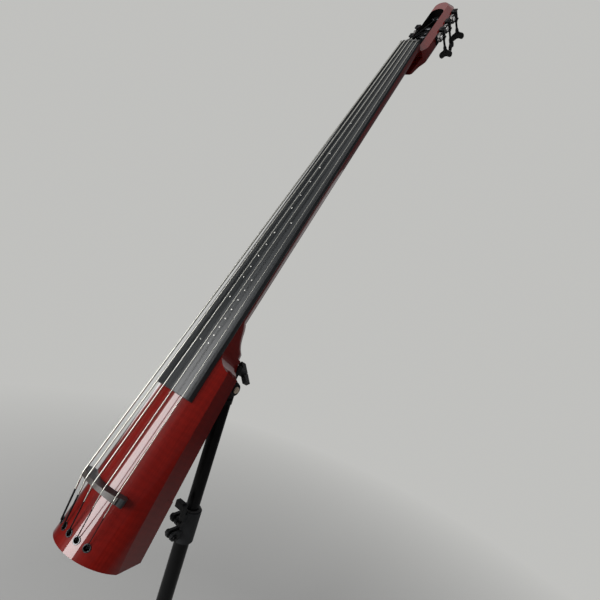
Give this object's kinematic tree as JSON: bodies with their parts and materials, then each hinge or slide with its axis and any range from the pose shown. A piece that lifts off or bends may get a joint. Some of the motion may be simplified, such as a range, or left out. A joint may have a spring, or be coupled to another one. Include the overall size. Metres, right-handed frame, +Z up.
{
  "type": "electric upright double bass on stand",
  "caption": "Slim solid-bodied electric upright double bass with strung fingerboard, arched bridge and slotted peghead, leaning on a folding tripod stand with a height-adjustable mast.",
  "frame": {"origin": "on the floor, at the middle of the whole object's box", "axes": "+Z up along the mast, -Y the side of the strings and bridge that faces the player's front, +X the treble side"},
  "size_m": [0.6028, 0.7602, 1.865],
  "materials": {
    "red_maple": "deep transparent red gloss lacquer over flamed maple",
    "ebony": "satin black",
    "nut_black": "satin",
    "inlay": "flush, satin",
    "saddle": "satin",
    "steel": "satin",
    "post_steel": "satin",
    "string_steel": "flat wound, polished",
    "pickup_brass": "plain",
    "gear_dark": "dark satin",
    "ferrule_chrome": "polished",
    "jack_chrome": "polished",
    "black_metal": "satin black",
    "black_screw": "black oxide",
    "black_plastic": "fine texture",
    "bushing_plastic": "matte",
    "circuit_board": "lacquered",
    "aluminium_parts": "satin",
    "beige_cap": "satin",
    "stand_tube": "semi-gloss black",
    "collar_grey": "cast, satin dark grey",
    "foot_rubber": "matte"
  },
  "bodies": {
    "stand_base": {"mast_lower": "stand_tube", "clamp_collar": "collar_grey", "stand_bolts": "black_screw", "leg_hub": "stand_tube"},
    "clamp_lever": {"clamp_lever": "black_metal"},
    "mast_bushing": {"mast_bushing": "bushing_plastic"},
    "mast": {"mast_upper": "stand_tube", "tilt_head": "black_metal"},
    "leg_1": {"leg_1": "stand_tube", "foot_1": "foot_rubber"},
    "leg_2": {"leg_2": "stand_tube", "foot_2": "foot_rubber"},
    "leg_3": {"leg_3": "stand_tube", "foot_3": "foot_rubber"},
    "instrument": {"body_core": "red_maple", "neck": "red_maple", "peghead": "red_maple", "fingerboard": "ebony", "nut": "nut_black", "position_dots": "inlay", "truss_rod": "steel", "bridge": "ebony", "bridge_saddle": "saddle", "pickup": "pickup_brass", "string_1": "string_steel", "string_2": "string_steel", "string_3": "string_steel", "string_4": "string_steel", "string_5": "string_steel", "tail_ferrules": "ferrule_chrome", "tuner_plate_treble": "black_metal", "tuner_plate_bass": "black_metal", "small_screws": "black_screw", "rear_cover": "black_plastic", "preamp": "circuit_board", "control_pots": "aluminium_parts", "output_jack": "jack_chrome", "mount_plate": "black_metal", "pivot_bolt": "black_screw", "pivot_cap": "beige_cap"},
    "tuner_post_1": {"post_1": "post_steel", "gear_1": "gear_dark"},
    "tuner_key_1": {"key_1": "black_metal"},
    "tuner_post_2": {"post_2": "post_steel", "gear_2": "gear_dark"},
    "tuner_key_2": {"key_2": "black_metal"},
    "tuner_post_3": {"post_3": "post_steel", "gear_3": "gear_dark"},
    "tuner_key_3": {"key_3": "black_metal"},
    "tuner_post_4": {"post_4": "post_steel", "gear_4": "gear_dark"},
    "tuner_key_4": {"key_4": "black_metal"},
    "tuner_post_5": {"post_5": "post_steel", "gear_5": "gear_dark"},
    "tuner_key_5": {"key_5": "black_metal"},
    "volume_knob": {"volume_knob": "black_plastic"},
    "tone_knob": {"tone_knob": "black_plastic"},
    "thumbscrew_1": {"thumbscrew_1": "black_metal"},
    "thumbscrew_2": {"thumbscrew_2": "black_metal"},
    "tilt_knob": {"tilt_knob": "black_plastic"}
  },
  "joints": [
    {"name": "leg_fold_1", "type": "hinge", "parent": "stand_base", "child": "leg_1", "pos_m": [0, -0.07814, 0.196], "axis": [1, 0, 0], "range_deg": [0, 55]},
    {"name": "leg_fold_2", "type": "hinge", "parent": "stand_base", "child": "leg_2", "pos_m": [0.0381, -0.01214, 0.196], "axis": [-0.5, 0.866, 0], "range_deg": [0, 55]},
    {"name": "leg_fold_3", "type": "hinge", "parent": "stand_base", "child": "leg_3", "pos_m": [-0.0381, -0.01214, 0.196], "axis": [-0.5, -0.866, 0], "range_deg": [0, 55]},
    {"name": "clamp_lever_swing", "type": "hinge", "parent": "stand_base", "child": "clamp_lever", "pos_m": [0.0118, -0.06914, 0.637], "axis": [1, 0, 0], "range_deg": [0, 60]},
    {"name": "mast_turn", "type": "hinge", "parent": "stand_base", "child": "mast_bushing", "pos_m": [0, -0.03414, 0.62], "axis": [0, 0, 1], "range_deg": [-180, 180]},
    {"name": "mast_slide", "type": "slide", "parent": "mast_bushing", "child": "mast", "axis": [0, 0, 1], "range_m": [-0.1, 0.12]},
    {"name": "tilt", "type": "hinge", "parent": "mast", "child": "instrument", "pos_m": [0, -0.03414, 0.9], "axis": [1, 0, 0], "range_deg": [-18, 12]},
    {"name": "tilt_knob_turn", "type": "hinge", "parent": "instrument", "child": "tilt_knob", "pos_m": [-0.03, -0.03414, 0.9], "axis": [1, 0, 0], "continuous": true},
    {"name": "thumbscrew_turn_1", "type": "hinge", "parent": "instrument", "child": "thumbscrew_1", "pos_m": [0.037, -0.06025, 0.94533], "axis": [0, 0.9372, -0.3489], "continuous": true},
    {"name": "thumbscrew_turn_2", "type": "hinge", "parent": "instrument", "child": "thumbscrew_2", "pos_m": [-0.037, -0.06025, 0.94533], "axis": [0, 0.9372, -0.3489], "continuous": true},
    {"name": "tuner_turn_1", "type": "hinge", "parent": "instrument", "child": "tuner_key_1", "pos_m": [-0.035, 0.30032, 1.74585], "axis": [0, 0.891, -0.454], "continuous": true},
    {"name": "post_turn_1", "type": "hinge", "parent": "instrument", "child": "tuner_post_1", "pos_m": [0, 0.27747, 1.74066], "axis": [1, 0, 0], "continuous": true},
    {"name": "tuner_turn_2", "type": "hinge", "parent": "instrument", "child": "tuner_key_2", "pos_m": [-0.035, 0.3153, 1.77525], "axis": [0, 0.891, -0.454], "continuous": true},
    {"name": "post_turn_2", "type": "hinge", "parent": "instrument", "child": "tuner_post_2", "pos_m": [0, 0.29246, 1.77006], "axis": [1, 0, 0], "continuous": true},
    {"name": "tuner_turn_3", "type": "hinge", "parent": "instrument", "child": "tuner_key_3", "pos_m": [0.035, 0.3405, 1.8247], "axis": [0, 0.891, -0.454], "continuous": true},
    {"name": "post_turn_3", "type": "hinge", "parent": "instrument", "child": "tuner_post_3", "pos_m": [0, 0.31765, 1.81951], "axis": [1, 0, 0], "continuous": true},
    {"name": "tuner_turn_4", "type": "hinge", "parent": "instrument", "child": "tuner_key_4", "pos_m": [0.035, 0.32325, 1.79085], "axis": [0, 0.891, -0.454], "continuous": true},
    {"name": "post_turn_4", "type": "hinge", "parent": "instrument", "child": "tuner_post_4", "pos_m": [0, 0.3004, 1.78565], "axis": [1, 0, 0], "continuous": true},
    {"name": "tuner_turn_5", "type": "hinge", "parent": "instrument", "child": "tuner_key_5", "pos_m": [0.035, 0.30872, 1.76233], "axis": [0, 0.891, -0.454], "continuous": true},
    {"name": "post_turn_5", "type": "hinge", "parent": "instrument", "child": "tuner_post_5", "pos_m": [0, 0.28587, 1.75714], "axis": [1, 0, 0], "continuous": true},
    {"name": "volume_turn", "type": "hinge", "parent": "instrument", "child": "volume_knob", "pos_m": [-0.076, -0.15171, 0.78819], "axis": [-1, 0, 0], "range_deg": [0, 280]},
    {"name": "tone_turn", "type": "hinge", "parent": "instrument", "child": "tone_knob", "pos_m": [-0.076, -0.16987, 0.75255], "axis": [-1, 0, 0], "range_deg": [0, 280]}
  ],
  "couplings": [
    {"joint": "post_turn_1", "follows": "tuner_turn_1", "ratio": -0.055556},
    {"joint": "post_turn_2", "follows": "tuner_turn_2", "ratio": -0.055556},
    {"joint": "post_turn_3", "follows": "tuner_turn_3", "ratio": 0.055556},
    {"joint": "post_turn_4", "follows": "tuner_turn_4", "ratio": 0.055556},
    {"joint": "post_turn_5", "follows": "tuner_turn_5", "ratio": 0.055556}
  ]
}
